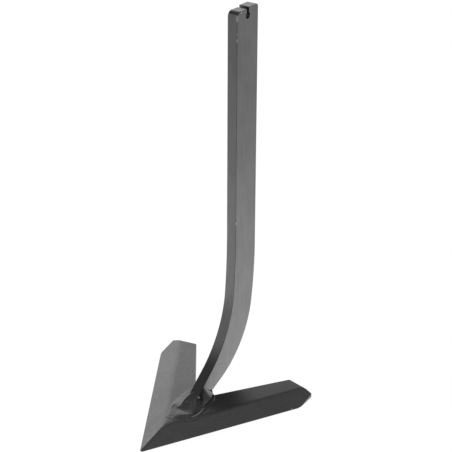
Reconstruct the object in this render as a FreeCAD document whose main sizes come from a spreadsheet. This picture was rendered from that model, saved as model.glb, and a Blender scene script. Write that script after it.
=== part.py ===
import FreeCAD, Part

import math
import os
import sys

import Sketcher
from FreeCAD import Placement, Rotation, Vector

# Weeder knife of a row-crop hoe: a V-shaped share on a curved flat-bar shank, joined by one weld.
# Millimetres. X runs across the direction of travel, the nose points to -Y, and +Z is up.
# Sizes are taken from the point where the two cutting edges would meet if the nose were sharp.

SIZES = (
    ("shank_top", 362, "height of the shank's top end above the nose"),
    ("shank_width", 30, "flat bar, fore and aft"),
    ("shank_thickness", 10, "flat bar, across"),
    ("foot_ahead", 14.4, "shank's foot, ahead of the share's crotch"),
    ("foot_behind", 14.1, "shank's foot, behind the share's crotch"),
    ("foot_sink", 2.5, "shank's foot let into the share's top"),
    ("front_tail", 37.14, "front edge, straight run up from the foot"),
    ("front_lower_radius", 97, "front edge, tight arc above the straight run"),
    ("front_lower_turn", 46, "front edge, turn of the tight arc, degrees"),
    ("front_upper_radius", 593, "front edge, easy arc into the upright bar"),
    ("front_upper_turn", 5.5, "front edge, turn of the easy arc, degrees"),
    ("rear_lower_radius", 82, "rear edge, tight arc above its short straight run"),
    ("rear_lower_turn", 57, "rear edge, turn of the tight arc, degrees"),
    ("rear_upper_radius", 365, "rear edge, easy arc into the upright bar"),
    ("rear_upper_turn", 9.2, "rear edge, turn of the easy arc, degrees"),
    ("shank_edge_radius", 0.5, "rounding of the bar's long edges"),
    ("top_front_radius", 5, "front corner of the top end"),
    ("top_front_drop", 1.3, "top end ahead of the slot, lower than behind it"),
    ("top_rear_radius", 2.6, "rear corner of the top end"),
    ("keyhole_diameter", 6, "round hole at the end of the slot"),
    ("keyhole_depth", 7, "top end to the centre of the hole"),
    ("slot_width", 3.2, "slot from the hole to the top end"),
    ("blade_pitch", 3.5, "share tipped nose down against the shank, degrees"),
    ("half_angle", 31.5, "cutting edge from the line of travel, degrees"),
    ("half_span", 80, "half of the working width"),
    ("wing_end", 18.9, "square end of a wing, along the line of travel"),
    ("wing_back", 26.3, "rear of a wing, across the line of travel"),
    ("wing_slant", 3.3, "rear of a wing, its inner corner behind its outer one"),
    ("crotch_setback", 80.4, "nose to the crotch between the wings"),
    ("plate_thickness", 6, "share's plate"),
    ("edge_land", 0.4, "blunt height of the cutting edge"),
    ("bevel_width", 17.4, "forged bevel behind the cutting edge"),
    ("wing_rise", 3.6, "wing rising inwards from its cutting edge, degrees"),
    ("nose_radius", 2, "worn nose seen from above"),
    ("wing_tip_radius", 14, "corner where a cutting edge meets the wing's end"),
    ("inner_corner_radius", 1.2, "corner where a wing's rear end meets the crotch, seen from above"),
    ("rear_rim_radius", 0.8, "rounding of the upper edges along the wings' rear"),
    ("weld_leg", 9.8, "root of the weld, out from the shank's side"),
    ("weld_height", 14, "weld from its root to its crest"),
    ("weld_sink", 1, "root of the weld below the plate's thickness"),
    ("weld_front_run", 26, "root of the weld, ahead of the shank's foot"),
    ("weld_rear_run", 3.5, "root of the weld, behind the shank's foot"),
    ("weld_shoulder", 23, "length of the root's rounded front"),
    ("weld_nose_radius", 8, "tip of the root's rounded front"),
    ("crest_margin", 0.4, "crest of the weld, out from the shank's side"),
    ("crest_front", 13, "crest of the weld, behind the foot's front end"),
    ("crest_rear", 4.5, "crest of the weld, ahead of the foot's rear end"),
    ("crest_shoulder", 7, "length of the crest's rounded front"),
    ("crest_nose_radius", 3, "tip of the crest's rounded front"),
)
value = {name: number for name, number, note in SIZES}
TOUCH = 1e-6

# Places worked out from the sizes. Each is a formula of the sheet, y is measured back from the nose.
WING_REAR = "(Sizes.half_span / tan(Sizes.half_angle) + Sizes.wing_end)"
FOOT_FRONT = "(Sizes.crotch_setback - Sizes.foot_ahead)"
FOOT_REAR = "(Sizes.crotch_setback + Sizes.foot_behind)"
FRONT_TURN = "(Sizes.front_upper_turn + Sizes.front_lower_turn)"
SETBACK = (f"({FOOT_FRONT} + Sizes.front_tail * sin({FRONT_TURN})"
           f" + Sizes.front_lower_radius * (cos(Sizes.front_upper_turn) - cos({FRONT_TURN}))"
           f" + Sizes.front_upper_radius * (1 - cos(Sizes.front_upper_turn)))")
NOSE_BACK = "(Sizes.nose_radius * (1 / sin(Sizes.half_angle) - 1))"
CROWN_BASE = "(Sizes.plate_thickness / cos(Sizes.wing_rise))"
CROWN_SLOPE = "(Sizes.blade_pitch * 1 deg + atan(tan(Sizes.wing_rise) * sin(Sizes.half_angle)))"

# The row's origin: under the middle of the box round the whole knife.
SHIFT_Y = f"-({NOSE_BACK} * cos(Sizes.blade_pitch) + {SETBACK} + Sizes.shank_width) / 2"
SHIFT_Z = f"-{NOSE_BACK} * sin(Sizes.blade_pitch)"

doc = FreeCAD.newDocument("WeederKnife")


def write_sheet():
    sheet = doc.addObject("Spreadsheet::Sheet", "Sizes")
    for row, (name, number, note) in enumerate(SIZES, start=1):
        sheet.set(f"A{row}", name)
        sheet.set(f"B{row}", str(number))
        sheet.set(f"C{row}", note)
        sheet.setAlias(f"B{row}", name)
    doc.recompute()


def stop_if_failed(feature):
    if "Invalid" in feature.State or "Error" in feature.State:
        sys.exit(f"{feature.Name} failed: {feature.State}")


def check(feature):
    """Stops where a feature did not come out as a sound shape."""
    doc.recompute()
    stop_if_failed(feature)
    if feature.Shape.isNull() or not feature.Shape.isValid():
        sys.exit(f"{feature.Name} has no sound shape")


def new_body(name, pitched):
    """A body over the row's origin, level with the shank or tipped as the share is."""
    body = doc.addObject("PartDesign::Body", name)
    body.Label = name
    body.setExpression("Placement.Base.y", SHIFT_Y)
    body.setExpression("Placement.Base.z", SHIFT_Z)
    if pitched:
        body.Placement.Rotation = Rotation(Vector(1, 0, 0), value["blade_pitch"])
        body.setExpression("Placement.Rotation.Angle", "Sizes.blade_pitch * 1 deg")
    return body


def origin_plane(body, role):
    return next(feature for feature in body.Origin.OriginFeatures if feature.Role == role)


def new_sketch(body, name, role):
    sketch = body.newObject("Sketcher::SketchObject", name)
    sketch.AttachmentSupport = (origin_plane(body, role), [""])
    sketch.MapMode = "FlatFace"
    return sketch


def hold(sketch, kind, *where):
    sketch.addConstraint(Sketcher.Constraint(kind, *where))


def measure(sketch, label, formula, kind, *where):
    """Adds a dimension and ties it to the sheet."""
    index = sketch.addConstraint(Sketcher.Constraint(kind, *where))
    sketch.renameConstraint(index, label)
    sketch.setExpression(f"Constraints.{label}", formula)


def add_line(sketch, start, end):
    return sketch.addGeometry(Part.LineSegment(Vector(*start, 0), Vector(*end, 0)))


def add_circle(sketch, centre, radius):
    return sketch.addGeometry(Part.Circle(Vector(*centre, 0), Vector(0, 0, 1), radius))


def add_arc(sketch, centre, radius, first, last):
    """An arc drawn anticlockwise from first to last, in degrees."""
    circle = Part.Circle(Vector(*centre, 0), Vector(0, 0, 1), radius)
    return sketch.addGeometry(Part.ArcOfCircle(circle, math.radians(first), math.radians(last)))


def polygon(sketch, corners):
    """A closed run of lines through the corners, joined end to end."""
    lines = [add_line(sketch, a, b) for a, b in zip(corners, corners[1:] + corners[:1])]
    for a, b in zip(lines, lines[1:] + lines[:1]):
        hold(sketch, "Coincident", a, 2, b, 1)
    return lines


def square_up(sketch, rectangle):
    """Holds a four-sided polygon, drawn from its lower left corner, to the axes."""
    low, right, high, left = rectangle
    for line in (low, high):
        hold(sketch, "Horizontal", line)
    for line in (right, left):
        hold(sketch, "Vertical", line)


def cut_through(body, sketch, name):
    """Cuts the sketch through the body both ways, and makes sure that something came off."""
    before = body.Shape.Volume
    pocket = body.newObject("PartDesign::Pocket", name)
    pocket.Profile = sketch
    pocket.Type = "ThroughAll"
    pocket.Midplane = True
    check(pocket)
    if pocket.Shape.Volume > before * (1 - TOUCH):
        sys.exit(f"{name} cut nothing")
    return pocket


def find_edges(shape, test):
    """Names of the shape's edges that pass the test."""
    return [f"Edge{number}" for number, edge in enumerate(shape.Edges, start=1) if test(edge)]


def round_edges(body, base, names, size, label):
    """Rounds the named edges of the base feature by a size of the sheet."""
    fillet = body.newObject("PartDesign::Fillet", label)
    fillet.Base = (base, names)
    fillet.setExpression("Radius", f"Sizes.{size}")
    check(fillet)
    return fillet


def cut_out(label, base, tool):
    """What is left of the base once the tool is taken out of it."""
    rest = doc.addObject("Part::Cut", label)
    rest.Label = label
    rest.Base = base
    rest.Tool = tool
    check(rest)
    return rest


def bent_edge(sketch, side, y, foot):
    """One edge of the shank seen from the side: straight, two arcs and a straight run to the foot."""
    upper, lower = value[f"{side}_upper_radius"], value[f"{side}_lower_radius"]
    turn = math.radians(value[f"{side}_upper_turn"])
    full = turn + math.radians(value[f"{side}_lower_turn"])
    foot_y, foot_z = foot
    y_mid = y - upper * (1 - math.cos(turn))
    y_low = y_mid - lower * (math.cos(turn) - math.cos(full))
    z_low = foot_z + (y_low - foot_y) / math.tan(full)
    z_mid = z_low + lower * (math.sin(full) - math.sin(turn))
    z_top = z_mid + upper * math.sin(turn)
    end = value["shank_top"] - (value["top_front_drop"] if side == "front" else 0)
    straight = add_line(sketch, (y, end - value[f"top_{side}_radius"]), (y, z_top))
    easy = add_arc(sketch, (y - upper, z_top), upper, -math.degrees(turn), 0)
    centre = (y_mid - lower * math.cos(turn), z_mid + lower * math.sin(turn))
    tight = add_arc(sketch, centre, lower, -math.degrees(full), -math.degrees(turn))
    tail = add_line(sketch, (y_low, z_low), foot)
    hold(sketch, "Vertical", straight)
    hold(sketch, "Tangent", straight, 2, easy, 2)
    hold(sketch, "Tangent", easy, 1, tight, 2)
    hold(sketch, "Tangent", tight, 1, tail, 1)
    measure(sketch, f"{side}_upper_radius", f"Sizes.{side}_upper_radius", "Radius", easy, upper)
    measure(sketch, f"{side}_lower_radius", f"Sizes.{side}_lower_radius", "Radius", tight, lower)
    measure(sketch, f"{side}_upper_turn", f"Sizes.{side}_upper_turn * 1 deg", "Angle", easy, turn)
    measure(sketch, f"{side}_lower_turn", f"Sizes.{side}_lower_turn * 1 deg", "Angle", tight, full - turn)
    return straight, tail


def seat_foot(sketch, side, y_formula, tail, foot):
    """Puts the lower end of an edge inside the share, under the middle of its top."""
    foot_y, foot_z = foot
    crown = (f"{CROWN_BASE} * cos(Sizes.blade_pitch)"
             f" + ({y_formula} + {CROWN_BASE} * sin(Sizes.blade_pitch)) * tan({CROWN_SLOPE})")
    measure(sketch, f"foot_{side}", y_formula, "DistanceX", -1, 1, tail, 2, foot_y)
    measure(sketch, f"foot_{side}_height", f"{crown} - Sizes.foot_sink", "DistanceY", -1, 1, tail, 2, foot_z)


def make_shank_bar():
    """Flat bar, bent edgewise and drawn down towards its foot, with a keyhole slot in the top end."""
    body = new_body("shank_bar", pitched=False)
    sketch = new_sketch(body, "shank_profile", "YZ_Plane")
    top, width, thickness = value["shank_top"], value["shank_width"], value["shank_thickness"]
    front_foot = (value["crotch_setback"] - value["foot_ahead"], value["plate_thickness"])
    rear_foot = (value["crotch_setback"] + value["foot_behind"], value["plate_thickness"])
    front = front_foot[0] + value["front_tail"] + value["front_lower_radius"] / 4
    rear = front + width
    front_straight, front_tail = bent_edge(sketch, "front", front, front_foot)
    rear_straight, rear_tail = bent_edge(sketch, "rear", rear, rear_foot)
    seat_foot(sketch, "front", FOOT_FRONT, front_tail, front_foot)
    seat_foot(sketch, "rear", FOOT_REAR, rear_tail, rear_foot)
    foot = add_line(sketch, front_foot, rear_foot)
    hold(sketch, "Coincident", front_tail, 2, foot, 1)
    hold(sketch, "Coincident", foot, 2, rear_tail, 2)
    r_front, r_rear = value["top_front_radius"], value["top_rear_radius"]
    low, y = top - value["top_front_drop"], front + width / 2
    front_corner = add_arc(sketch, (front + r_front, low - r_front), r_front, 90, 180)
    rear_corner = add_arc(sketch, (rear - r_rear, top - r_rear), r_rear, 0, 90)
    low_end = add_line(sketch, (front + r_front, low), (y, low))
    step = add_line(sketch, (y, low), (y, top))
    high_end = add_line(sketch, (y, top), (rear - r_rear, top))
    hold(sketch, "Tangent", front_straight, 1, front_corner, 2)
    hold(sketch, "Tangent", front_corner, 1, low_end, 1)
    hold(sketch, "Coincident", low_end, 2, step, 1)
    hold(sketch, "Coincident", step, 2, high_end, 1)
    hold(sketch, "Tangent", high_end, 2, rear_corner, 2)
    hold(sketch, "Horizontal", low_end)
    hold(sketch, "Vertical", step)
    hold(sketch, "Horizontal", high_end)
    hold(sketch, "Tangent", rear_corner, 1, rear_straight, 1)
    measure(sketch, "top_front_radius", "Sizes.top_front_radius", "Radius", front_corner, r_front)
    measure(sketch, "top_rear_radius", "Sizes.top_rear_radius", "Radius", rear_corner, r_rear)
    measure(sketch, "setback", SETBACK, "DistanceX", -1, 1, front_straight, 1, front)
    measure(sketch, "width", "Sizes.shank_width",
            "DistanceX", front_straight, 1, rear_straight, 1, width)
    measure(sketch, "top", "Sizes.shank_top", "DistanceY", -1, 1, high_end, 1, top)
    measure(sketch, "top_drop", "Sizes.top_front_drop",
            "DistanceY", step, 1, step, 2, value["top_front_drop"])
    middle = f"{SETBACK} + Sizes.shank_width / 2"
    measure(sketch, "step_across", middle, "DistanceX", -1, 1, step, 1, y)

    pad = body.newObject("PartDesign::Pad", "shank_pad")
    pad.Profile = sketch
    pad.Midplane = True
    pad.setExpression("Length", "Sizes.shank_thickness")
    check(pad)
    lowest = min(vertex.Z for vertex in pad.Shape.Vertexes)
    foot_height = max(edge.CenterOfMass.z for edge in pad.Shape.Edges
                      if edge.BoundBox.YLength > TOUCH and edge.BoundBox.ZMin < lowest + TOUCH)
    sides = find_edges(pad.Shape, lambda edge: abs(edge.CenterOfMass.x) > thickness / 2 - TOUCH
                       and edge.CenterOfMass.z > foot_height + TOUCH
                       and edge.Length > value["top_front_drop"] + TOUCH)
    round_edges(body, pad, sides, "shank_edge_radius", "long_edges")

    hole_height = "Sizes.shank_top - Sizes.keyhole_depth"
    z = top - value["keyhole_depth"]
    round_hole = new_sketch(body, "keyhole_round", "YZ_Plane")
    circle = add_circle(round_hole, (y, z), value["keyhole_diameter"] / 2)
    measure(round_hole, "diameter", "Sizes.keyhole_diameter", "Diameter", circle, value["keyhole_diameter"])
    measure(round_hole, "across", middle, "DistanceX", -1, 1, circle, 3, y)
    measure(round_hole, "up", hole_height, "DistanceY", -1, 1, circle, 3, z)
    cut_through(body, round_hole, "keyhole_bore")

    half, length = value["slot_width"] / 2, value["keyhole_depth"] + value["keyhole_diameter"]
    slot = new_sketch(body, "keyhole_slot", "YZ_Plane")
    mouth = polygon(slot, [(y - half, z), (y + half, z), (y + half, z + length), (y - half, z + length)])
    square_up(slot, mouth)
    low, right = mouth[:2]
    measure(slot, "width", "Sizes.slot_width", "DistanceX", low, 1, low, 2, 2 * half)
    measure(slot, "across", f"{middle} - Sizes.slot_width / 2", "DistanceX", -1, 1, low, 1, y - half)
    measure(slot, "up", hole_height, "DistanceY", -1, 1, low, 1, z)
    measure(slot, "length", "Sizes.keyhole_depth + Sizes.keyhole_diameter",
            "DistanceY", right, 1, right, 2, length)
    cut_through(body, slot, "keyhole_mouth")
    return body


def make_wing(body):
    """One wing, endless to the rear: a blunt edge, a bevel, and a flat that rises inwards."""
    angle, rise = math.radians(value["half_angle"]), math.radians(value["wing_rise"])
    depth = value["half_span"] * math.cos(angle) + value["wing_end"] * math.sin(angle)
    lift = value["plate_thickness"] / math.cos(rise)
    bevel = value["bevel_width"]
    section = new_sketch(body, "wing_section", "XZ_Plane")
    section.AttachmentOffset = Placement(Vector(0, 0, 0), Rotation(Vector(0, 1, 0), 1))
    section.setExpression("AttachmentOffset.Rotation.Angle", "180 deg - Sizes.half_angle * 1 deg")
    corners = [(0, 0), (depth, depth * math.tan(rise)), (depth, depth * math.tan(rise) + lift),
               (bevel, bevel * math.tan(rise) + lift), (0, value["edge_land"])]
    under, back, flat, slope, land = polygon(section, corners)
    hold(section, "Coincident", -1, 1, under, 1)
    hold(section, "Vertical", back)
    hold(section, "Vertical", land)
    hold(section, "Parallel", under, flat)
    measure(section, "rise", "Sizes.wing_rise * 1 deg", "Angle", -1, 1, under, 1, rise)
    measure(section, "depth", f"{WING_REAR} * sin(Sizes.half_angle)", "DistanceX", under, 1, under, 2, depth)
    measure(section, "thickness", "Sizes.plate_thickness",
            "Distance", back, 2, under, value["plate_thickness"])
    measure(section, "bevel", "Sizes.bevel_width", "DistanceX", -1, 1, flat, 2, bevel)
    measure(section, "land", "Sizes.edge_land", "DistanceY", -1, 1, slope, 2, value["edge_land"])
    wing = body.newObject("PartDesign::Pad", "wing")
    wing.Profile = section
    wing.setExpression("Length", f"Sizes.half_span * sin(Sizes.half_angle) + "
                                 f"{WING_REAR} * cos(Sizes.half_angle) + Sizes.plate_thickness")
    check(wing)


def trim_wing(body):
    """Cuts the wing to its outline seen from above, by a frame wider than the whole share."""
    around = new_sketch(body, "wing_outline", "XY_Plane")
    span, crotch = value["half_span"], value["crotch_setback"]
    rear = span / math.tan(math.radians(value["half_angle"])) + value["wing_end"]
    inner = span - value["wing_back"]
    slant = value["wing_slant"]
    frame = 2 * (span + rear)
    outside = polygon(around, [(-frame, -frame), (frame, -frame), (frame, frame), (-frame, frame)])
    square_up(around, outside)
    hold(around, "Symmetric", outside[0], 1, outside[1], 2, -1, 1)
    frame_size = f"4 * (Sizes.half_span + {WING_REAR})"
    measure(around, "frame_across", frame_size, "DistanceX", outside[0], 1, outside[0], 2, 2 * frame)
    measure(around, "frame_along", frame_size, "DistanceY", outside[1], 1, outside[1], 2, 2 * frame)
    kept = [(0, -rear), (span, -rear), (span, rear), (inner, rear + slant), (0, crotch)]
    ahead, end, back, hollow, middle = polygon(around, kept)
    hold(around, "Horizontal", ahead)
    hold(around, "Vertical", end)
    hold(around, "Vertical", middle)
    hold(around, "PointOnObject", middle, 1, -2)
    measure(around, "ahead", WING_REAR, "DistanceY", ahead, 1, -1, 1, rear)
    measure(around, "span", "Sizes.half_span", "DistanceX", ahead, 1, ahead, 2, span)
    measure(around, "rear", WING_REAR, "DistanceY", -1, 1, end, 2, rear)
    measure(around, "wing_back", "Sizes.wing_back", "DistanceX", back, 2, back, 1, span - inner)
    measure(around, "wing_slant", "Sizes.wing_slant", "DistanceY", back, 1, back, 2, slant)
    measure(around, "crotch", "Sizes.crotch_setback", "DistanceY", -1, 1, middle, 1, crotch)
    return cut_through(body, around, "wing_trim")


def is_land(edge):
    """True for the short upright edges at the ends of the blunt cutting edges."""
    return abs(edge.Length - value["edge_land"]) < TOUCH


def is_inner_corner(edge):
    """True for the upright edge where a wing's rear end meets the crotch."""
    inner = value["half_span"] - value["wing_back"]
    return all(abs(vertex.X - inner) < TOUCH for vertex in edge.Vertexes)


def is_rear_rim(edge):
    """True for a wing's upper edges across its rear end and along the crotch."""
    ends = [edge.Vertexes[0].Point, edge.Vertexes[-1].Point]
    lowest = min(point.z for point in ends)
    foremost = min(point.y for point in ends)
    return lowest > value["plate_thickness"] / 2 and foremost > value["crotch_setback"] - TOUCH


def make_blade():
    """V-shaped share: two wings that meet at the nose and on the centre line behind it."""
    body = new_body("blade", pitched=True)
    make_wing(body)
    wing = trim_wing(body)
    tip = find_edges(wing.Shape, lambda edge: is_land(edge)
                     and edge.CenterOfMass.x > value["half_span"] - TOUCH)
    wing = round_edges(body, wing, tip, "wing_tip_radius", "wing_tip")
    inner = find_edges(wing.Shape, is_inner_corner)
    wing = round_edges(body, wing, inner, "inner_corner_radius", "inner_corner")
    pair = body.newObject("PartDesign::Mirrored", "wings")
    pair.TransformMode = "Whole shape"
    pair.MirrorPlane = (origin_plane(body, "YZ_Plane"), [""])
    pair.Refine = True
    body.Tip = pair
    check(pair)
    nose = find_edges(pair.Shape, lambda edge: is_land(edge) and abs(edge.CenterOfMass.x) < TOUCH)
    share = round_edges(body, pair, nose, "nose_radius", "nose")
    round_edges(body, share, find_edges(share.Shape, is_rear_rim), "rear_rim_radius", "rear_rims")
    return body


def boat_outline(body, label, height, formulas, numbers):
    """Outline of the weld at one height: a square rear, straight sides and a rounded front.

    Formulas and numbers both give the half width, the front, the rear, the length of the rounded
    front and the radius of its tip.
    """
    sketch = new_sketch(body, label, "XY_Plane")
    sketch.setExpression("AttachmentOffset.Base.z", height)
    wide, ahead, behind, turn, small = numbers
    reach = turn - small
    big = (wide ** 2 + reach ** 2 - small ** 2) / (2 * (wide - small))
    lean = math.degrees(math.atan2(big - wide, reach))
    knee, middle = ahead + turn, ahead + small
    back = add_line(sketch, (wide, behind), (-wide, behind))
    left = add_line(sketch, (-wide, behind), (-wide, knee))
    left_bow = add_arc(sketch, (big - wide, knee), big, 180, 270 - lean)
    nose = add_arc(sketch, (0, middle), small, 270 - lean, 270 + lean)
    right_bow = add_arc(sketch, (wide - big, knee), big, 270 + lean, 360)
    right = add_line(sketch, (wide, knee), (wide, behind))
    hold(sketch, "Coincident", back, 2, left, 1)
    hold(sketch, "Tangent", left, 2, left_bow, 1)
    hold(sketch, "Tangent", left_bow, 2, nose, 1)
    hold(sketch, "Tangent", nose, 2, right_bow, 1)
    hold(sketch, "Tangent", right_bow, 2, right, 1)
    hold(sketch, "Coincident", right, 2, back, 1)
    hold(sketch, "Vertical", right)
    hold(sketch, "Symmetric", back, 1, back, 2, -2)
    hold(sketch, "Symmetric", left, 2, right, 1, -2)
    hold(sketch, "PointOnObject", nose, 3, -2)
    half_width, front, rear, shoulder, nose_radius = formulas
    measure(sketch, "nose_radius", nose_radius, "Radius", nose, small)
    measure(sketch, "width", f"2 * ({half_width})", "DistanceX", back, 2, back, 1, 2 * wide)
    measure(sketch, "rear", rear, "DistanceY", -1, 1, back, 1, behind)
    measure(sketch, "front", f"{front} + {nose_radius}", "DistanceY", -1, 1, nose, 3, middle)
    measure(sketch, "shoulder", f"{front} + {shoulder}", "DistanceY", -1, 1, right, 1, knee)
    return sketch


def make_weld_form():
    """The weld as a boat-shaped heap round the shank's foot, before shank and share are taken out."""
    body = new_body("weld_form", pitched=True)
    side = value["shank_thickness"] / 2
    foot_front = value["crotch_setback"] - value["foot_ahead"]
    foot_rear = value["crotch_setback"] + value["foot_behind"]
    level = "Sizes.plate_thickness - Sizes.weld_sink"
    root = boat_outline(
        body, "weld_root", level,
        ("Sizes.shank_thickness / 2 + Sizes.weld_leg", f"{FOOT_FRONT} - Sizes.weld_front_run",
         f"{FOOT_REAR} + Sizes.weld_rear_run", "Sizes.weld_shoulder", "Sizes.weld_nose_radius"),
        (side + value["weld_leg"], foot_front - value["weld_front_run"],
         foot_rear + value["weld_rear_run"], value["weld_shoulder"], value["weld_nose_radius"]))
    crest = boat_outline(
        body, "weld_crest", f"{level} + Sizes.weld_height",
        ("Sizes.shank_thickness / 2 + Sizes.crest_margin", f"{FOOT_FRONT} + Sizes.crest_front",
         f"{FOOT_REAR} - Sizes.crest_rear", "Sizes.crest_shoulder", "Sizes.crest_nose_radius"),
        (side + value["crest_margin"], foot_front + value["crest_front"],
         foot_rear - value["crest_rear"], value["crest_shoulder"], value["crest_nose_radius"]))
    heap = body.newObject("PartDesign::AdditiveLoft", "weld_heap")
    heap.Profile = root
    heap.Sections = [crest]
    heap.Ruled = True
    check(heap)
    return body


def main():
    write_sheet()
    bar = make_shank_bar()
    blade = make_blade()
    shank = cut_out("shank", bar, blade)
    beside_shank = cut_out("weld_beside_shank", make_weld_form(), bar)
    weld = cut_out("weld_bead", beside_shank, blade)
    doc.recompute()
    for feature in doc.Objects:
        stop_if_failed(feature)
    os.makedirs("parts", exist_ok=True)
    for piece in (shank, blade, weld):
        if len(piece.Shape.Solids) != 1:
            sys.exit(f"{piece.Label} is not one solid")
        piece.Shape.exportStep(f"parts/{piece.Label}.step")


main()
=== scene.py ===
import math

import bmesh
import bpy
from bpy.props import FloatProperty, FloatVectorProperty, IntProperty, PointerProperty
from bpy.types import Operator, Panel, PropertyGroup
from mathutils import Euler, Matrix, Vector


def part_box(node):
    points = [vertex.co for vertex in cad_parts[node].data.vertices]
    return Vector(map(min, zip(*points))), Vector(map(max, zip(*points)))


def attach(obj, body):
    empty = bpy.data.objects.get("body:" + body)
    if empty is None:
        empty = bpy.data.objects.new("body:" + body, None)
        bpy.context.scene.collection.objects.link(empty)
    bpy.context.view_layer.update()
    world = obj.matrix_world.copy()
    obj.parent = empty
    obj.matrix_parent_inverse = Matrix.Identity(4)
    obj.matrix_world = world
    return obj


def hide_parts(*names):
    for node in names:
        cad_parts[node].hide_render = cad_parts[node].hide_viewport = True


# Weeder knife of a row-crop hoe: a V-shaped share on a curved flat-bar shank, joined by one weld.
# Metres, in the row's frame: X across the direction of travel, the nose points to -Y, +Z is up.
# Right is +X, as the camera sees it from in front.

bl_info = {
    "name": "Weeder knife",
    "version": (1, 0, 0),
    "blender": (4, 5, 0),
    "location": "View3D > Sidebar > Knife",
    "description": "Dresses a weeder knife: its shank, share, weld and the stage that it stands on",
    "category": "Object",
}

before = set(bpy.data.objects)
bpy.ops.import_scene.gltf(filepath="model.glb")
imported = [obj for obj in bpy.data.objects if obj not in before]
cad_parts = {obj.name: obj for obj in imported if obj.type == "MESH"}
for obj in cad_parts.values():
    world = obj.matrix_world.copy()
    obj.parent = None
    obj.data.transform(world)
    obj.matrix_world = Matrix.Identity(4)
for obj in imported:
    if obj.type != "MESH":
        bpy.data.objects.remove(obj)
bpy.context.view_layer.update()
BAR_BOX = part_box("shank")

MM = 0.001
FLUSH = 0.01 * MM        # two places nearer than this are the same
NOSE = Vector((0, -82.8950 * MM, -0.1116 * MM))     # where the cutting edges would meet, if sharp
PITCH = math.radians(3.5)                           # share tipped nose down against the shank


def length(name, millimetres, description):
    return FloatProperty(name=name, default=millimetres * MM, unit="LENGTH", precision=5,
                         description=description)


def angle(name, degrees, description):
    return FloatProperty(name=name, default=math.radians(degrees), subtype="ANGLE",
                         description=description)


def linear(hex_colour):
    """An sRGB colour written as six hex digits, turned to linear numbers."""
    parts = [int(hex_colour[place:place + 2], 16) / 255 for place in (0, 2, 4)]
    return [part / 12.92 if part <= 0.04045 else ((part + 0.055) / 1.055) ** 2.4 for part in parts]


def colour(name, hex_colour, description):
    return FloatVectorProperty(name=name, default=linear(hex_colour), subtype="COLOR", size=3,
                               min=0, max=1, description=description)


class ShankSizes(PropertyGroup):
    width: length("Width", 30, "Flat bar, fore and aft")
    thickness: length("Thickness", 10, "Flat bar, across")
    foot_front: length("Foot front", 66, "Front of the foot, behind the nose")
    foot_front_height: length("Foot front height", 9.755, "Front of the foot, above the nose")
    foot_rear: length("Foot rear", 94.5, "Rear of the foot, behind the nose")
    foot_rear_height: length("Foot rear height", 12.44, "Rear of the foot, above the nose")
    front_tail: length("Front tail", 37.14, "Straight run up from the foot")
    front_lower_radius: length("Front lower radius", 97, "Tight arc of the front edge")
    front_lower_turn: angle("Front lower turn", 46, "Turn of that arc")
    front_upper_radius: length("Front upper radius", 593, "Easy arc into the upright bar")
    front_upper_turn: angle("Front upper turn", 5.5, "Turn of that arc")
    rear_lower_radius: length("Rear lower radius", 82, "Tight arc of the rear edge")
    rear_lower_turn: angle("Rear lower turn", 57, "Turn of that arc")
    rear_upper_radius: length("Rear upper radius", 365, "Easy arc into the upright bar")
    rear_upper_turn: angle("Rear upper turn", 9.2, "Turn of that arc")
    top_front_radius: length("Top front radius", 5, "Front corner of the top end")
    top_front_drop: length("Top front drop", 1.3, "Top end ahead of the slot, lower than behind it")
    top_rear_radius: length("Top rear radius", 2.6, "Rear corner of the top end")
    edge_radius: length("Edge radius", 0.5, "Rounding of the bar's long edges")
    hole_diameter: length("Hole diameter", 6, "Round hole at the end of the slot")
    hole_depth: length("Hole depth", 7, "Top end to the centre of the hole")
    slot_width: length("Slot width", 3.2, "Slot from the hole to the top end")
    paint: colour("Paint", "8A8A8B", "Graphite paint of the bar")


class ShareSizes(PropertyGroup):
    half_angle: angle("Half angle", 31.5, "Cutting edge from the line of travel")
    half_span: length("Half span", 80, "Half of the working width")
    wing_end: length("Wing end", 18.9, "Square end of a wing, along the line of travel")
    wing_back: length("Wing back", 26.3, "Rear of a wing, across the line of travel")
    wing_slant: length("Wing slant", 3.3, "Rear of a wing, its inner corner behind its outer one")
    crotch: length("Crotch", 80.4, "Nose to the crotch between the wings")
    plate: length("Plate", 6, "Thickness of the plate")
    land: length("Land", 0.4, "Blunt height of the cutting edge")
    bevel: length("Bevel", 17.4, "Forged bevel behind the cutting edge")
    rise: angle("Rise", 3.6, "Wing rising inwards from its cutting edge")
    nose_radius: length("Nose radius", 2, "Worn nose seen from above")
    tip_radius: length("Tip radius", 14, "Corner where a cutting edge meets the wing's end")
    inner_radius: length("Inner radius", 1.2, "Corner where a wing's rear end meets the crotch")
    crown_width: length("Crown width", 3, "Softened ridge on the centre line, each way")
    ridge_share: FloatProperty(name="Ridge", default=0.9, subtype="FACTOR", min=0, max=1,
                               description="Softening of the ridges behind the bevels, of the crown's")
    mitre_share: FloatProperty(name="Mitre", default=0.7, subtype="FACTOR", min=0, max=1,
                               description="Softening of the ridge up from the nose, of the crown's")
    rim_share: FloatProperty(name="Rims", default=0.26, subtype="FACTOR", min=0, max=1,
                             description="Softening of the upper rims behind, of the crown's")
    corner_share: FloatProperty(name="Corners", default=0.1, subtype="FACTOR", min=0, max=1,
                                description="Softening of the other edges, of the crown's")
    paint: colour("Paint", "8A8A8B", "Graphite paint of the share")


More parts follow.
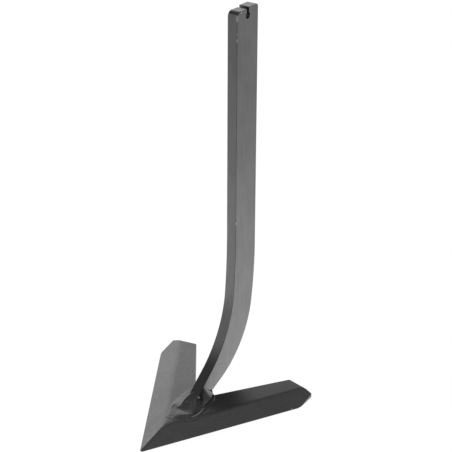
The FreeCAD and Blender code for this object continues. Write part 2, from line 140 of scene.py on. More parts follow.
class WeldSizes(PropertyGroup):
    rear: length("Rear", 98.4, "Rear end of the weld, behind the nose")
    front: length("Front", 45, "Tip of the weld's toe, behind the nose")
    underside: length("Underside", 3.5, "Underside of the weld, above the share's cutting edges")
    ripple: length("Ripple", 1.9, "One ripple of the bead to the next")
    ripple_height: length("Ripple height", 0.07, "How far the ripples stand out")
    cells_across: IntProperty(name="Cells across", default=110, min=8, description="Squares across the weld")
    cells_along: IntProperty(name="Cells along", default=160, min=8, description="Squares along the weld")
    paint: colour("Paint", "848485", "Graphite paint of the weld")


class StageSizes(PropertyGroup):
    floor_size: length("Floor", 12000, "Side of the floor")
    camera_distance: length("Camera distance", 1180.416, "Camera to the plane of the nose, along the view")
    camera_azimuth: angle("Camera azimuth", 35.973, "Camera round to the right of straight ahead")
    camera_elevation: angle("Camera elevation", 25.807, "Camera above the horizon")
    camera_roll: angle("Camera roll", 0.181, "Camera tipped to its left")
    lens: FloatProperty(name="Lens", default=108.748, unit="CAMERA",
                        description="Focal length, 36 mm sensor")
    floor: colour("Floor", "FFFFFF", "Plain pale floor")


# ---------------------------------------------------------------- modelling helpers

def deselect():
    bpy.ops.object.select_all(action="DESELECT")


def start(name):
    """Names the primitive that was just added and settles its place in its mesh."""
    piece = bpy.context.object
    piece.name = piece.data.name = name
    settle(piece)
    return piece


def settle(piece):
    """Puts the object back to the origin, unturned and unscaled, with its place in its mesh."""
    deselect()
    piece.select_set(True)
    bpy.context.view_layer.objects.active = piece
    bpy.ops.object.transform_apply(location=True, rotation=True, scale=True)


def pick(piece, kind, test):
    """In edit mode, selects the vertices, edges or faces that pass the test, and nothing else."""
    bpy.ops.mesh.select_mode(type=kind)
    bpy.ops.mesh.select_all(action="DESELECT")
    mesh = bmesh.from_edit_mesh(piece.data)
    items = {"VERT": mesh.verts, "EDGE": mesh.edges, "FACE": mesh.faces}[kind]
    chosen = [item for item in items if test(item)]
    if not chosen:
        raise RuntimeError(f"{piece.name}: nothing to select")
    for item in chosen:
        item.select_set(True)
    bmesh.update_edit_mesh(piece.data)


def slice_off(place, outwards):
    """Cuts the whole mesh by a plane, throws away what lies outside and closes the cut."""
    bpy.ops.mesh.select_all(action="SELECT")
    bpy.ops.mesh.bisect(plane_co=place, plane_no=Vector(outwards).normalized(), use_fill=True,
                        clear_outer=True, threshold=FLUSH / 10)


def round_off(centre, radius, first, last, cuts):
    """Rounds an upright corner by slicing it off in steps from one heading to another."""
    for number in range(cuts):
        turn = first + (last - first) * (number + 0.5) / cuts
        outwards = Vector((math.cos(turn), math.sin(turn), 0))
        slice_off(centre + radius * outwards, outwards)


def apply_modifier(piece, kind, **settings):
    """Adds a modifier with its settings and applies it at once."""
    bpy.context.view_layer.objects.active = piece
    modifier = piece.modifiers.new(kind.title(), kind)
    for name, value in settings.items():
        setattr(modifier, name, value)
    bpy.ops.object.modifier_apply(modifier=modifier.name)


def finish_piece(piece, node, material):
    """Paints the piece and puts it in its CAD node's stead."""
    piece.data.materials.clear()
    piece.data.materials.append(material)
    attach(piece, "root")
    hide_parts(node)


# ---------------------------------------------------------------- materials

def add(tree, kind, inputs=None, **settings):
    """Adds a node with its settings, and gives each input a value or another node's output."""
    node = tree.nodes.new(kind)
    for name, value in settings.items():
        setattr(node, name, value)
    for socket, value in (inputs or {}).items():
        if isinstance(value, bpy.types.NodeSocket):
            tree.links.new(value, node.inputs[socket])
        else:
            node.inputs[socket].default_value = value
    return node


def new_material(name):
    material = bpy.data.materials.new(name)
    material.use_nodes = True
    material.node_tree.nodes.clear()
    return material, material.node_tree


def per_metre(millimetres):
    """Scale of a noise whose grains are that large."""
    return 1 / (millimetres * MM)


COAT_METAL = 0.98           # graphite makes the coat mirror as metal does
BARE_AND_GLINT_METAL = 0.3         # bare steel, so scuffed that it shines dully from all sides, at the chips and at the painted highlights


def graphite_paint(name, paint, grain, chips_and_glints):
    """Dark grey stove enamel full of graphite, sprayed thin on rough steel: it mirrors its surroundings
    softly, as a dark metal does, with faint clouds in its tone and a fine orange peel.

    Grain stretches the fine streaks of the steel below along an axis. Chips and glints are bright, dull
    spots of
    bare steel, each a centre and half sizes: chips where the enamel is knocked off, painted highlights where
    it glints.
    """
    material, tree = new_material(name)
    place = add(tree, "ShaderNodeTexCoord").outputs["Object"]
    clouds = add(tree, "ShaderNodeTexNoise", {"Vector": place, "Scale": per_metre(38), "Detail": 4.0,
                                              "Roughness": 0.55}).outputs["Fac"]
    stretched = add(tree, "ShaderNodeMapping", {"Vector": place, "Scale": grain}).outputs["Vector"]
    streaks = add(tree, "ShaderNodeTexNoise", {"Vector": stretched, "Scale": per_metre(2.2), "Detail": 3.0,
                                               "Roughness": 0.6}).outputs["Fac"]
    peel = add(tree, "ShaderNodeTexNoise", {"Vector": place, "Scale": per_metre(0.9), "Detail": 2.0,
                                            "Roughness": 0.5}).outputs["Fac"]
    both = add(tree, "ShaderNodeMath", {0: clouds, 1: streaks}, operation="ADD").outputs[0]
    clouded = {"Value": both, "From Min": 0.7, "From Max": 1.3}
    tone = add(tree, "ShaderNodeMapRange", {**clouded, "To Min": 0.0, "To Max": 1.0}).outputs["Result"]
    dark, light = ([part * shade for part in paint] + [1] for shade in (0.91, 1.09))
    coat = add(tree, "ShaderNodeMix", {"Factor": tone, 6: dark, 7: light}, data_type="RGBA").outputs[2]
    rough = add(tree, "ShaderNodeMapRange", {**clouded, "To Min": 0.32, "To Max": 0.27}).outputs["Result"]
    height = add(tree, "ShaderNodeMath", {0: streaks, 1: peel}, operation="ADD").outputs[0]
    metal = COAT_METAL
    # Bright spots of bare steel: chips where the enamel is knocked off, and painted highlights where the
    # surface glints.
    if chips_and_glints:
        ragged = add(tree, "ShaderNodeTexNoise", {"Vector": place, "Scale": per_metre(1.2),
                                                  "Detail": 3.0}).outputs["Fac"]
        nearest = None
        for centre, half in chips_and_glints:
            away = add(tree, "ShaderNodeVectorMath", {0: place, 1: centre}, operation="SUBTRACT").outputs[0]
            part = add(tree, "ShaderNodeVectorMath", {0: away, 1: half}, operation="DIVIDE").outputs[0]
            span = add(tree, "ShaderNodeVectorMath", {0: part}, operation="LENGTH").outputs["Value"]
            nearest = span if nearest is None else add(
                tree, "ShaderNodeMath", {0: nearest, 1: span}, operation="MINIMUM").outputs[0]
        edge = add(tree, "ShaderNodeMath", {0: nearest, 1: ragged}, operation="ADD").outputs[0]
        bare_or_glint = add(tree, "ShaderNodeMapRange", {"Value": edge, "From Min": 1.35, "From Max": 1.6,
                                                "To Min": 1.0, "To Max": 0.0}).outputs["Result"]
        chip_and_glint_colour = linear("DCDBD8") + [1]      # bare steel, bright and scuffed; at the glints, a painted highlight
        coat = add(tree, "ShaderNodeMix", {"Factor": bare_or_glint, 6: coat, 7: chip_and_glint_colour}, data_type="RGBA").outputs[2]
        metal = add(tree, "ShaderNodeMapRange", {"Value": bare_or_glint, "To Min": COAT_METAL,
                                                 "To Max": BARE_AND_GLINT_METAL}).outputs["Result"]
        sunk = add(tree, "ShaderNodeMath", {0: bare_or_glint, 1: -2.0}, operation="MULTIPLY").outputs[0]
        height = add(tree, "ShaderNodeMath", {0: height, 1: sunk}, operation="ADD").outputs[0]
    bump = add(tree, "ShaderNodeBump", {"Height": height, "Strength": 0.2, "Distance": 0.05 * MM})
    shader = add(tree, "ShaderNodeBsdfPrincipled", {"Base Color": coat, "Metallic": metal,
                                                    "Roughness": rough, "Normal": bump.outputs["Normal"]})
    add(tree, "ShaderNodeOutputMaterial", {"Surface": shader.outputs["BSDF"]})
    return material


# ---------------------------------------------------------------- shank

def run_to(piece, y, z):
    """Draws the profile on from its last point in a straight line."""
    mesh = bmesh.from_edit_mesh(piece.data)
    here = next(vertex.co for vertex in mesh.verts if vertex.select)
    bpy.ops.mesh.extrude_vertices_move(TRANSFORM_OT_translate={"value": Vector((here.x, y, z)) - here})


def turn_round(y, z, turn, steps):
    """Draws the profile on in an arc round a centre, anticlockwise seen from +X."""
    bpy.ops.mesh.spin(steps=steps, dupli=False, angle=turn, center=(0, y, z), axis=(-1, 0, 0))


class KNIFE_OT_shank(Operator):
    """Flat bar, bent edgewise, with a keyhole slot in its top end"""

    bl_idname = "knife.shank"
    bl_label = "Shank"

    def execute(self, context):
        s = context.scene.knife_shank
        top, rear = BAR_BOX[1].z, BAR_BOX[1].y
        front, side = rear - s.width, s.thickness / 2
        full_front = s.front_lower_turn + s.front_upper_turn
        full_rear = s.rear_lower_turn + s.rear_upper_turn
        foot = Vector((-side, NOSE.y + s.foot_front, NOSE.z + s.foot_front_height))
        heel = Vector((-side, NOSE.y + s.foot_rear, NOSE.z + s.foot_rear_height))
        deselect()
        bpy.ops.mesh.primitive_plane_add(size=MM, location=foot)
        piece = start("shank_bar")
        bpy.ops.object.mode_set(mode="EDIT")
        bpy.ops.mesh.select_all(action="SELECT")
        bpy.ops.mesh.merge(type="CENTER")

        # Front edge up from the foot: straight, tight arc, easy arc, straight.
        tail_y = foot.y + s.front_tail * math.sin(full_front)
        tail_z = foot.z + s.front_tail * math.cos(full_front)
        run_to(piece, tail_y, tail_z)
        tight_y = tail_y - s.front_lower_radius * math.cos(full_front)
        tight_z = tail_z + s.front_lower_radius * math.sin(full_front)
        turn_round(tight_y, tight_z, s.front_lower_turn, steps=20)
        easy_z = tight_z + (s.front_upper_radius - s.front_lower_radius) * math.sin(s.front_upper_turn)
        turn_round(front - s.front_upper_radius, easy_z, s.front_upper_turn, steps=8)

        # Top end, with the step at the slot.
        low, middle = top - s.top_front_drop, rear - s.width / 2
        run_to(piece, front, low - s.top_front_radius)
        turn_round(front + s.top_front_radius, low - s.top_front_radius, -math.pi / 2, steps=10)
        run_to(piece, middle, low)
        run_to(piece, middle, top)
        run_to(piece, rear - s.top_rear_radius, top)
        turn_round(rear - s.top_rear_radius, top - s.top_rear_radius, -math.pi / 2, steps=6)

        # Rear edge down to the heel: straight, easy arc, tight arc, straight.
        bend_y = (rear - s.rear_upper_radius * (1 - math.cos(s.rear_upper_turn))
                  - s.rear_lower_radius * (math.cos(s.rear_upper_turn) - math.cos(full_rear)))
        bend_z = heel.z + (bend_y - heel.y) / math.tan(full_rear)
        tight_z = bend_z + s.rear_lower_radius * (math.sin(full_rear) - math.sin(s.rear_upper_turn))
        easy_z = tight_z + s.rear_upper_radius * math.sin(s.rear_upper_turn)
        run_to(piece, rear, easy_z)
        turn_round(rear - s.rear_upper_radius, easy_z, -s.rear_upper_turn, steps=8)
        turn_round(bend_y - s.rear_lower_radius * math.cos(full_rear),
                   bend_z + s.rear_lower_radius * math.sin(full_rear), -s.rear_lower_turn, steps=30)
        run_to(piece, heel.y, heel.z)
        bpy.ops.mesh.select_all(action="SELECT")
        bpy.ops.mesh.edge_face_add()
        bpy.ops.mesh.extrude_region_move(TRANSFORM_OT_translate={"value": (s.thickness, 0, 0)})
        bpy.ops.mesh.select_all(action="SELECT")
        bpy.ops.mesh.normals_make_consistent(inside=False)

        seat = max(foot.z, heel.z) + FLUSH
        pick(piece, "EDGE", lambda edge: abs(sum(v.co.x for v in edge.verts)) > s.thickness - FLUSH
             and max(v.co.z for v in edge.verts) > seat)
        bpy.ops.mesh.bevel(offset=s.edge_radius, segments=5, affect="EDGES", clamp_overlap=False)
        bpy.ops.object.mode_set(mode="OBJECT")

        hole = top - s.hole_depth
        bpy.ops.mesh.primitive_cylinder_add(vertices=48, radius=s.hole_diameter / 2, depth=2 * s.thickness,
                                            location=(0, middle, hole), rotation=(0, math.pi / 2, 0))
        bore = start("hole_cutter")
        bpy.ops.mesh.primitive_cube_add(size=1, location=(0, middle, hole + s.hole_depth),
                                        scale=(2 * s.thickness, s.slot_width, 2 * s.hole_depth))
        mouth = start("slot_cutter")
        for cutter in (bore, mouth):
            apply_modifier(piece, "BOOLEAN", operation="DIFFERENCE", solver="EXACT", object=cutter)
        deselect()
        bore.select_set(True)
        mouth.select_set(True)
        bpy.ops.object.delete()

        settle(piece)
        bpy.ops.object.shade_smooth_by_angle(angle=math.radians(35))
        apply_modifier(piece, "WEIGHTED_NORMAL", keep_sharp=True, weight=100)
        # Knocks along the right front corner and one near the top end; where the bar leaves the weld, a
        # bright bare-steel fleck painted as a highlight.
        front_corner = (side - 0.2 * MM, front + 0.3 * MM)
        chips_and_glints = [((*front_corner, z * MM), (wide * MM, wide * MM, tall * MM)) for z, wide, tall in (
            (355.4, 1.0, 2.8), (342.2, 0.5, 0.9), (336.8, 0.55, 1.6), (168.7, 0.5, 1.5), (121, 0.45, 0.9))]
        chips_and_glints.append(((side, front + 5.6 * MM, top - 3 * MM), (0.6 * MM, 0.7 * MM, 0.6 * MM)))
        # Painted highlight where the bar leaves the weld, made as a bright fleck of bare steel.
        chips_and_glints.append(((side, -4.7 * MM, 17.7 * MM), (0.8 * MM, 0.9 * MM, 0.8 * MM)))
        paint = graphite_paint("graphite_enamel_on_flat_bar", list(s.paint), (1, 1, 0.08), chips_and_glints)
        finish_piece(piece, "shank", paint)
        return {"FINISHED"}


# ---------------------------------------------------------------- share

def lies_on(plane, places):
    """True if all the places are on the plane, on either wing. The plane is a place and a normal."""
    place, normal = Vector(plane[0]), Vector(plane[1]).normalized()
    return all(abs((Vector((abs(p.x), p.y, p.z)) - place).dot(normal)) < FLUSH for p in places)


def tip_over(piece):
    """Takes a piece made in the share's own level frame to its place under the shank."""
    piece.rotation_euler.x = PITCH
    piece.location = NOSE
    settle(piece)


class KNIFE_OT_share(Operator):
    """V-shaped share of forged plate with a bevel along each cutting edge"""

    bl_idname = "knife.share"
    bl_label = "Share"

    def execute(self, context):
        s = context.scene.knife_share
        cosine, sine, lean = math.cos(s.half_angle), math.sin(s.half_angle), math.tan(s.rise)
        wing_rear = s.half_span / math.tan(s.half_angle) + s.wing_end
        inner = Vector((s.half_span - s.wing_back, wing_rear + s.wing_slant, 0))
        lift = s.plate / math.cos(s.rise)
        slope = (lift + s.bevel * lean - s.land) / s.bevel

        # Planes of the right wing in the share's level frame, each a place and an outward normal.
        middle = ((0, 0, 0), (1, 0, 0))
        wing = ((s.half_span, 0, 0), (1, 0, 0))
        behind = (inner, (s.wing_slant, s.wing_back, 0))
        edge = ((0, 0, 0), (cosine, -sine, 0))
        under = ((0, 0, 0), (-cosine * lean, sine * lean, -1))
        flat = ((0, 0, lift), (cosine * lean, -sine * lean, 1))
        bevel = ((0, 0, s.land), (cosine * slope, -sine * slope, 1))
        hollow = ((0, s.crotch, 0), (s.crotch - inner.y, inner.x, 0))

        # The right wing is sliced out of a block that is larger than it on all sides but the outer one.
        deselect()
        size = Vector((s.half_span, 1.2 * wing_rear, 8 * s.plate))
        bpy.ops.mesh.primitive_cube_add(size=1, location=(size.x / 2, wing_rear / 2, 0), scale=size)
        piece = start("share_plate")
        bpy.ops.object.mode_set(mode="EDIT")
        for place, outwards in (behind, edge, under, flat, bevel, hollow):
            slice_off(place, outwards)
        round_tip = Vector((s.half_span - s.tip_radius, 0, 0))
        round_tip.y = (s.tip_radius + round_tip.x * cosine) / sine
        to_rear, to_crotch = Vector(behind[1]).normalized(), Vector(hollow[1]).normalized()
        inwards = -(to_rear + to_crotch).normalized()
        round_inner = inner - inwards * s.inner_radius / to_rear.dot(inwards)
        rear_turn, crotch_turn = math.atan2(*to_rear.yx), math.atan2(*to_crotch.yx)
        round_off(round_tip, s.tip_radius, -s.half_angle, 0, cuts=9)
        round_off(round_inner, s.inner_radius, rear_turn, crotch_turn, cuts=5)
        pick(piece, "FACE", lambda face: lies_on(middle, [v.co for v in face.verts]))
        bpy.ops.mesh.delete(type="FACE")
        bpy.ops.object.mode_set(mode="OBJECT")
        apply_modifier(piece, "MIRROR", use_axis=(True, False, False), use_mirror_merge=True,
                       merge_threshold=FLUSH)

        bpy.ops.object.mode_set(mode="EDIT")
        bpy.ops.mesh.select_all(action="SELECT")
        bpy.ops.mesh.remove_doubles(threshold=FLUSH)
        bpy.ops.mesh.normals_make_consistent(inside=False)

        def between(*planes):
            return lambda edge: all(lies_on(plane, [v.co for v in edge.verts]) for plane in planes)

        def rear_rim(edge):
            ends = [v.co for v in edge.verts]
            return (lies_on(flat, ends) and not lies_on(middle, ends) and not lies_on(bevel, ends)
                    and edge.calc_length() > FLUSH)

        for test, share in ((between(flat, middle), 1.0), (between(flat, bevel), s.ridge_share),
                            (between(bevel, middle), s.mitre_share), (rear_rim, s.rim_share),
                            (between(bevel, wing), s.corner_share),
                            (between(wing, behind), s.corner_share)):
            pick(piece, "EDGE", test)
            bpy.ops.transform.edge_bevelweight(value=share)
        bpy.ops.object.mode_set(mode="OBJECT")
        apply_modifier(piece, "BEVEL", limit_method="WEIGHT", width=s.crown_width, segments=5,
                       use_clamp_overlap=False)
        bpy.ops.object.mode_set(mode="EDIT")
        round_nose = Vector((0, s.nose_radius / sine, 0))
        round_off(round_nose, s.nose_radius, s.half_angle - math.pi, -s.half_angle, cuts=14)
        bpy.ops.mesh.select_all(action="SELECT")
        bpy.ops.mesh.normals_make_consistent(inside=False)
        bpy.ops.object.mode_set(mode="OBJECT")
        bpy.ops.object.shade_smooth_by_angle(angle=math.radians(30))
        apply_modifier(piece, "WEIGHTED_NORMAL", keep_sharp=True, weight=100)
        tip_over(piece)
        # Painted highlight where the right cutting edge glints, made as a bright fleck of bare steel.
        chips_and_glints = [((75.2 * MM, 40.9 * MM, 8.4 * MM), (0.9 * MM, 0.9 * MM, 0.7 * MM))]   # right cutting edge
        paint = graphite_paint("graphite_enamel_on_forged_share", list(s.paint), (1, 0.4, 1), chips_and_glints)
        finish_piece(piece, "blade", paint)
        return {"FINISHED"}


# ---------------------------------------------------------------- weld

def share_top(share, x, y):
    """Height of the share's flat top at a place, in its own level frame."""
    inwards = y * math.sin(share.half_angle) - abs(x) * math.cos(share.half_angle)
    return share.plate / math.cos(share.rise) + inwards * math.tan(share.rise)


# Lines of the weld in millimetres, in the share's level frame. In each row comes a place behind the
# nose, then what the weld measures there.

# Height on the centre line, at the bar's right side and at its left side.
CREST = ((52, 7.6), (59.5, 7.9), (64, 9.2), (68, 10.5), (72, 11.8), (76, 13.4), (80, 15.3), (84, 17.5),
         (88, 18.4), (92, 15.0), (96, 10.2), (98.4, 7.7))
RIGHT_LINE = ((52, 7.4), (59.5, 7.8), (64, 8.9), (68, 10.2), (72, 11.4), (76, 12.9), (79.6, 14.8),
              (83.8, 17.6), (86.8, 19.0), (90.5, 15.9), (94, 12.1), (96.5, 9.6), (98.4, 8.0))
LEFT_LINE = ((52, 7.4), (59.5, 7.8), (64, 9.1), (68, 10.4), (72, 11.7), (76, 13.1), (79.6, 14.2),
             (83, 14.6), (87, 14.6), (92, 13), (96.5, 9.3), (98.4, 7.7))

# Centre line to the toe of the bead, where its face meets the share.
RIGHT_TOE = ((52, 8), (58, 12.2), (64.6, 14.3), (76.7, 13.0), (90.2, 11.3), (94.5, 9.4), (98.4, 6.2))
LEFT_TOE = ((52, 7), (58, 11.4), (64.6, 12.3), (76.7, 12.4), (85, 12.5), (92, 11.0), (98.4, 6.2))

# Centre line to the border of the weld's sheet, which is let into the share.
RIGHT_BORDER = ((45, 3), (47, 8), (50, 12.5), (56, 17.5), (62, 20), (70, 20.3), (80, 18.5), (88, 15.8),
                (92, 13.4), (94, 10.8), (96, 8.9), (98.4, 6.4))
LEFT_BORDER = ((45, 6.5), (47, 9), (50, 11), (56, 13.5), (62, 15), (70, 15.4), (80, 15.4), (88, 14.6),
               (92, 12.8), (94, 10.8), (96, 8.9), (98.4, 6.4))

# Front edge of the thin skin before the bead: a place across the share, then its place behind the nose.
FRONT_EDGE = ((-16, 66), (-12.5, 60), (-9, 51.5), (-5.3, 47.1), (0, 49), (4, 50.8), (8, 52.7), (12, 56.6),
              (15.8, 60.8), (18.4, 68.5), (21, 76))

STREAKS = ((2.6, 0.02), (4.9, 0.04), (7.6, 0.04))   # of that skin: place behind its front edge, and height
BAR_SIDE = 5                # centre line to the bar's side
SUNK = 0.1                  # toes of the bead below the share's top, so that no gap shows
VALLEY = 0.25               # softening where the bead's face runs into the skin
GROOVE = 59.6               # groove ahead of the bead: its place behind the nose


def along(table, place):
    """What a table says at a place between its rows, on a smooth curve through them all."""
    place = min(max(place, table[0][0]), table[-1][0])
    rows = (table[0], *table, table[-1])
    number = next(n for n in range(1, len(table)) if place <= rows[n + 1][0])
    before, low, high, after = rows[number - 1:number + 3]
    span = high[0] - low[0]
    part = (place - low[0]) / span
    leave = (high[1] - before[1]) / (high[0] - before[0]) * span
    arrive = (after[1] - low[1]) / (after[0] - low[0]) * span
    return ((2 * part - 3) * part * part + 1) * low[1] + (3 - 2 * part) * part * part * high[1] \
        + part * (part - 1) * ((part - 1) * leave + part * arrive)


def ease(low, high, place):
    """Nought below low and one above high, with a soft change between."""
    part = min(max((place - low) / (high - low), 0), 1)
    return part * part * (3 - 2 * part)


def bump(place, middle, width):
    """A soft swelling one high."""
    return math.exp(-((place - middle) / width) ** 2)


def bead_height(sizes, x, y, plate, toe):
    """Height of the bead's face, which leans on the bar and is rippled on both sides of it."""
    out = abs(x)
    crest = along(CREST, y)
    line = along(RIGHT_LINE if x > 0 else LEFT_LINE, y)
    if out < BAR_SIDE:
        height = crest + (line - crest) * (out / BAR_SIDE) ** 2
    elif out < toe:
        bulge = 1.15 if x > 0 else 1.0
        height = line + (plate - SUNK - line) * ((out - BAR_SIDE) / (toe - BAR_SIDE)) ** bulge
    else:
        height = plate - SUNK - 0.6 * (out - toe)
    rippled = ease(BAR_SIDE, BAR_SIDE + 1.5, out) * (1 - ease(toe - 1.5, toe, out)) * ease(62, 68, y)
    wave = math.sin(2 * math.pi * (y * MM / sizes.ripple + 0.12 * out + 0.35 * math.sin(0.9 * y)))
    height += sizes.ripple_height / MM * wave * rippled
    return height + 0.12 * math.sin(0.9 * x + 1.3) * math.sin(0.55 * y + 0.4) * ease(60, 64, y)


def skin_height(x, y, plate, away):
    """Height of the thin skin that ran out on to the share, with its faint streaks."""
    behind_edge = y - along(FRONT_EDGE, x) + 0.5 * math.sin(0.8 * x)
    thickness = 0.45 + 0.8 * ease(-3, 9, x) * (1 - ease(9, 15, x))
    height = plate - 0.2 + thickness * ease(-7, 5, behind_edge)
    for place, streak in STREAKS:
        height += streak * bump(behind_edge + 0.5 * math.sin(0.5 * x + place), place, 0.8)
    return height - 0.5 * (ease(2.4, 6.0, away) if x > 0 else ease(0.0, 5.0, away))


def weld_height(sizes, share, x, y):
    """Height of the weld at a place: its bead and its skin, with the undercuts and lips at the toes."""
    plate = share_top(share, x * MM, y * MM) / MM
    toe = along(RIGHT_TOE if x > 0 else LEFT_TOE, y)
    away = abs(x) - toe
    bead = bead_height(sizes, x, y, plate, toe)
    skin = skin_height(x, y, plate, away)
    level = (bead + skin + math.hypot(bead - skin, VALLEY)) / 2
    if x > 0:
        level -= 0.35 * bump(away, 0.0, 0.7) * ease(56, 60, y)      # undercut
        level += 0.22 * bump(away, 1.8, 1.3) * ease(56, 60, y)      # lip outside it
    else:
        level += 0.25 * bump(away, -0.6, 1.3) * ease(57, 63, y)     # lip
    level -= 0.3 * bump(y - GROOVE - 0.018 * x * x, 0, 0.6) * ease(-3, 1, x) * (1 - ease(9, 12, x))
    off_share = ease(0, 1.2, y - share.crotch / MM - 1.36 * abs(x)) * ease(-0.6, 0.3, away)
    return level - 2.5 * off_share


class KNIFE_OT_weld(Operator):
    """Weld that runs round the shank's foot and flares out on to the share"""

    bl_idname = "knife.weld"
    bl_label = "Weld"

    def execute(self, context):
        # The weld's shape is free, so the sheet that makes its top is moved point by point.
        s, share = context.scene.knife_weld, context.scene.knife_share
        deselect()
        bpy.ops.mesh.primitive_grid_add(x_subdivisions=s.cells_across, y_subdivisions=s.cells_along, size=1,
                                        location=(0, 0.5, 0))
        piece = start("weld_bead_visible")
        for vertex in piece.data.vertices:
            y = (s.front + vertex.co.y * (s.rear - s.front)) / MM
            x = 2 * vertex.co.x * along(RIGHT_BORDER if vertex.co.x > 0 else LEFT_BORDER, y)
            vertex.co = Vector((x, y, weld_height(s, share, x, y))) * MM
        bpy.ops.object.mode_set(mode="EDIT")
        bpy.ops.mesh.select_all(action="SELECT")
        bpy.ops.mesh.extrude_region_move()
        bpy.ops.transform.resize(value=(1, 1, 0), center_override=(0, 0, s.underside))
        bpy.ops.mesh.select_all(action="SELECT")
        bpy.ops.mesh.normals_make_consistent(inside=False)
        bpy.ops.object.mode_set(mode="OBJECT")
        apply_modifier(piece, "SMOOTH", factor=0.5, iterations=1)
        settle(piece)
        bpy.ops.object.shade_smooth_by_angle(angle=math.radians(50))
        tip_over(piece)
        # Painted highlights beside the bar, made as bright flecks of bare steel: one at its front edge, one
        # by its heel.
        chips_and_glints = [((5.9 * MM, -5.9 * MM, 18.0 * MM), (1.1 * MM, 1.1 * MM, 1.0 * MM)),
                 ((5.7 * MM, 12.4 * MM, 14.7 * MM), (0.7 * MM, 0.9 * MM, 0.7 * MM))]
        paint = graphite_paint("graphite_enamel_on_weld", list(s.paint), (1, 1, 1), chips_and_glints)
        finish_piece(piece, "weld_bead", paint)
        return {"FINISHED"}


# ---------------------------------------------------------------- stage

LIT_FLOOR = (-0.61, 0.79, 0)        # way from the knife to the bright part of the floor
LIT_SKY = (-0.35, 0.94, 0)          # way to the bright part of the sky
FLOOR_SEEN = 1.09                   # to the camera, a little over white, so that only the shadow shows
GLOW_SHARE = 0.9                    # of the floor's look, the rest being matt and taking the shadow
SKY_STOPS = ((0.0, 0.66), (0.40, 0.90), (0.56, 0.90), (0.66, 0.36), (0.73, 0.07), (0.85, 0.09),
             (1.0, 0.32))           # height in the sky, horizon to zenith, and brightness
PICTURE = 452                       # the picture's width and height in pixels
SENSOR = 36                         # the sensor's width in millimetres
NOSE_SEEN = (139.731, 452.565)      # the nose in the picture, in pixels from its left and its top


def paint_floor(tree, pale):
    """Floor that the camera sees as white with a faint shadow, and that fades away from the object
    in reflections, as a lit table in a dim studio does."""
    path = add(tree, "ShaderNodeLightPath")
    place = add(tree, "ShaderNodeTexCoord").outputs["Object"]
    away = add(tree, "ShaderNodeVectorMath", {0: place}, operation="LENGTH").outputs["Value"]
    fade = add(tree, "ShaderNodeMapRange", {"Value": away, "From Min": 0.1, "From Max": 0.8,
                                            "To Min": 0.95, "To Max": 0.55}).outputs["Result"]
    way = add(tree, "ShaderNodeVectorMath", {0: place}, operation="NORMALIZE").outputs["Vector"]
    lit_side = add(tree, "ShaderNodeVectorMath", {0: way, 1: LIT_FLOOR}, operation="DOT_PRODUCT")
    side = add(tree, "ShaderNodeMapRange", {"Value": lit_side.outputs["Value"],
                                            "From Min": -1.0, "From Max": 0.35,
                                            "To Min": 0.36, "To Max": 1.1}).outputs["Result"]
    shown = add(tree, "ShaderNodeMath", {0: fade, 1: side}, operation="MULTIPLY").outputs[0]
    to_camera = path.outputs["Is Camera Ray"]
    seen = add(tree, "ShaderNodeMix", {"Factor": to_camera, 2: shown, 3: FLOOR_SEEN}).outputs[0]
    glow = add(tree, "ShaderNodeEmission", {"Color": (*pale, 1), "Strength": seen})
    matt = add(tree, "ShaderNodeBsdfDiffuse", {"Color": (*pale, 1)})
    either = add(tree, "ShaderNodeMath", {0: to_camera, 1: path.outputs["Is Glossy Ray"]}, operation="ADD")
    share = add(tree, "ShaderNodeMath", {0: either.outputs[0], 1: GLOW_SHARE}, operation="MULTIPLY")
    shader = add(tree, "ShaderNodeMixShader", {0: share.outputs[0], 1: matt.outputs[0], 2: glow.outputs[0]})
    add(tree, "ShaderNodeOutputMaterial", {"Surface": shader.outputs[0]})


def light_sky(scene):
    """Soft studio: a bright band round the horizon, brightest behind on the left, with a dark gap below
    the dim zenith. The camera itself sees plain white."""
    scene.world = world = bpy.data.worlds.new("soft_studio")
    world.use_nodes = True
    tree = world.node_tree
    tree.nodes.clear()
    way = add(tree, "ShaderNodeTexCoord").outputs["Generated"]
    parts = add(tree, "ShaderNodeSeparateXYZ", {0: way}).outputs
    ahead = add(tree, "ShaderNodeMath", {0: parts["Y"], 1: 0.0}, operation="MINIMUM").outputs[0]
    height = add(tree, "ShaderNodeMath", {0: ahead, 1: -0.10, 2: parts["Z"]}, operation="MULTIPLY_ADD")
    band = add(tree, "ShaderNodeValToRGB", {0: height.outputs[0]})
    ramp = band.color_ramp
    while len(ramp.elements) < len(SKY_STOPS):
        ramp.elements.new(0.5)
    for element, (position, bright) in zip(ramp.elements, SKY_STOPS):
        element.position = position
        element.color = (bright, bright, bright, 1)
    towards = add(tree, "ShaderNodeVectorMath", {0: way, 1: LIT_SKY}, operation="DOT_PRODUCT")
    round_it = add(tree, "ShaderNodeMapRange", {"Value": towards.outputs["Value"], "From Min": -0.2,
                                                "From Max": 0.35, "To Min": 0.5, "To Max": 1.0})
    right = add(tree, "ShaderNodeMapRange", {"Value": parts["X"], "From Min": 0.1, "From Max": 0.6,
                                             "To Min": 1.0, "To Max": 0.25}).outputs["Result"]
    shade = add(tree, "ShaderNodeMath", {0: right, 1: round_it.outputs["Result"]}, operation="MULTIPLY")
    strength = add(tree, "ShaderNodeMath", {0: band.outputs["Color"], 1: shade.outputs[0]},
                   operation="MULTIPLY")
    to_camera = add(tree, "ShaderNodeLightPath").outputs["Is Camera Ray"]
    seen = add(tree, "ShaderNodeMix", {"Factor": to_camera, 2: strength.outputs[0], 3: 1.0})
    glow = add(tree, "ShaderNodeBackground", {"Color": (1, 1, 1, 1), "Strength": seen.outputs[0]})
    add(tree, "ShaderNodeOutputWorld", {"Surface": glow.outputs[0]})


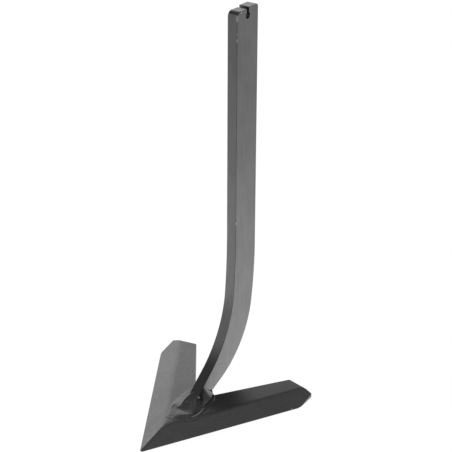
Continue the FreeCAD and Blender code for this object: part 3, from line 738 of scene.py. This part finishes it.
def add_lamp(name, place, target, size, power):
    """A soft square lamp that faces a point and that no surface mirrors."""
    place, target = Vector(place), Vector(target)
    deselect()
    bpy.ops.object.light_add(type="AREA", location=place,
                             rotation=(target - place).to_track_quat("-Z", "Y").to_euler())
    lamp = bpy.context.object
    lamp.name = name
    lamp.data.size = size
    lamp.data.energy = power
    lamp.visible_glossy = False


class KNIFE_OT_stage(Operator):
    """Plain pale floor, soft studio light and the camera"""

    bl_idname = "knife.stage"
    bl_label = "Stage"

    def execute(self, context):
        s = context.scene.knife_stage
        deselect()
        bpy.ops.mesh.primitive_grid_add(x_subdivisions=8, y_subdivisions=8, size=s.floor_size)
        floor = start("floor")
        matt, tree = new_material("matt_white_floor")
        paint_floor(tree, list(s.floor))
        floor.data.materials.append(matt)

        light_sky(context.scene)
        add_lamp("softbox_over_left_wing", (-0.8, 0.6, 1.6), (0, 0, 0.1), 1.0, 8)

        turn = Euler((math.pi / 2 - s.camera_elevation, 0, s.camera_azimuth)).to_matrix()
        turn = turn @ Matrix.Rotation(s.camera_roll, 3, "Z")
        pixel = s.camera_distance * SENSOR / s.lens / PICTURE
        nose_across = (NOSE_SEEN[0] - PICTURE / 2) * pixel
        nose_up = (PICTURE / 2 - NOSE_SEEN[1]) * pixel
        place = NOSE - turn @ Vector((nose_across, nose_up, -s.camera_distance))
        bpy.ops.object.camera_add(location=place, rotation=turn.to_euler())
        camera = bpy.context.object
        camera.name = "camera"
        camera.data.lens = s.lens
        context.scene.camera = camera
        context.scene.view_settings.view_transform = "Standard"
        return {"FINISHED"}


class KNIFE_PT_panel(Panel):
    """Sizes and colours of the knife and its stage, with a button for each piece"""

    bl_idname = "KNIFE_PT_panel"
    bl_label = "Weeder knife"
    bl_space_type = "VIEW_3D"
    bl_region_type = "UI"
    bl_category = "Knife"

    def draw(self, context):
        for operator, group in PARTS:
            self.layout.operator(operator.bl_idname)
            sizes = getattr(context.scene, group)
            for name in sizes.__annotations__:
                self.layout.prop(sizes, name)


PARTS = ((KNIFE_OT_shank, "knife_shank"), (KNIFE_OT_share, "knife_share"), (KNIFE_OT_weld, "knife_weld"),
         (KNIFE_OT_stage, "knife_stage"))
GROUPS = {"knife_shank": ShankSizes, "knife_share": ShareSizes, "knife_weld": WeldSizes,
          "knife_stage": StageSizes}
CLASSES = (*GROUPS.values(), *(operator for operator, group in PARTS), KNIFE_PT_panel)


def register():
    for item in CLASSES:
        bpy.utils.register_class(item)
    for name, group in GROUPS.items():
        setattr(bpy.types.Scene, name, PointerProperty(type=group))


def unregister():
    for name in GROUPS:
        delattr(bpy.types.Scene, name)
    for item in reversed(CLASSES):
        bpy.utils.unregister_class(item)


def main():
    register()
    bpy.ops.knife.shank()
    bpy.ops.knife.share()
    bpy.ops.knife.weld()
    bpy.ops.knife.stage()


if __name__ == "__main__":
    main()
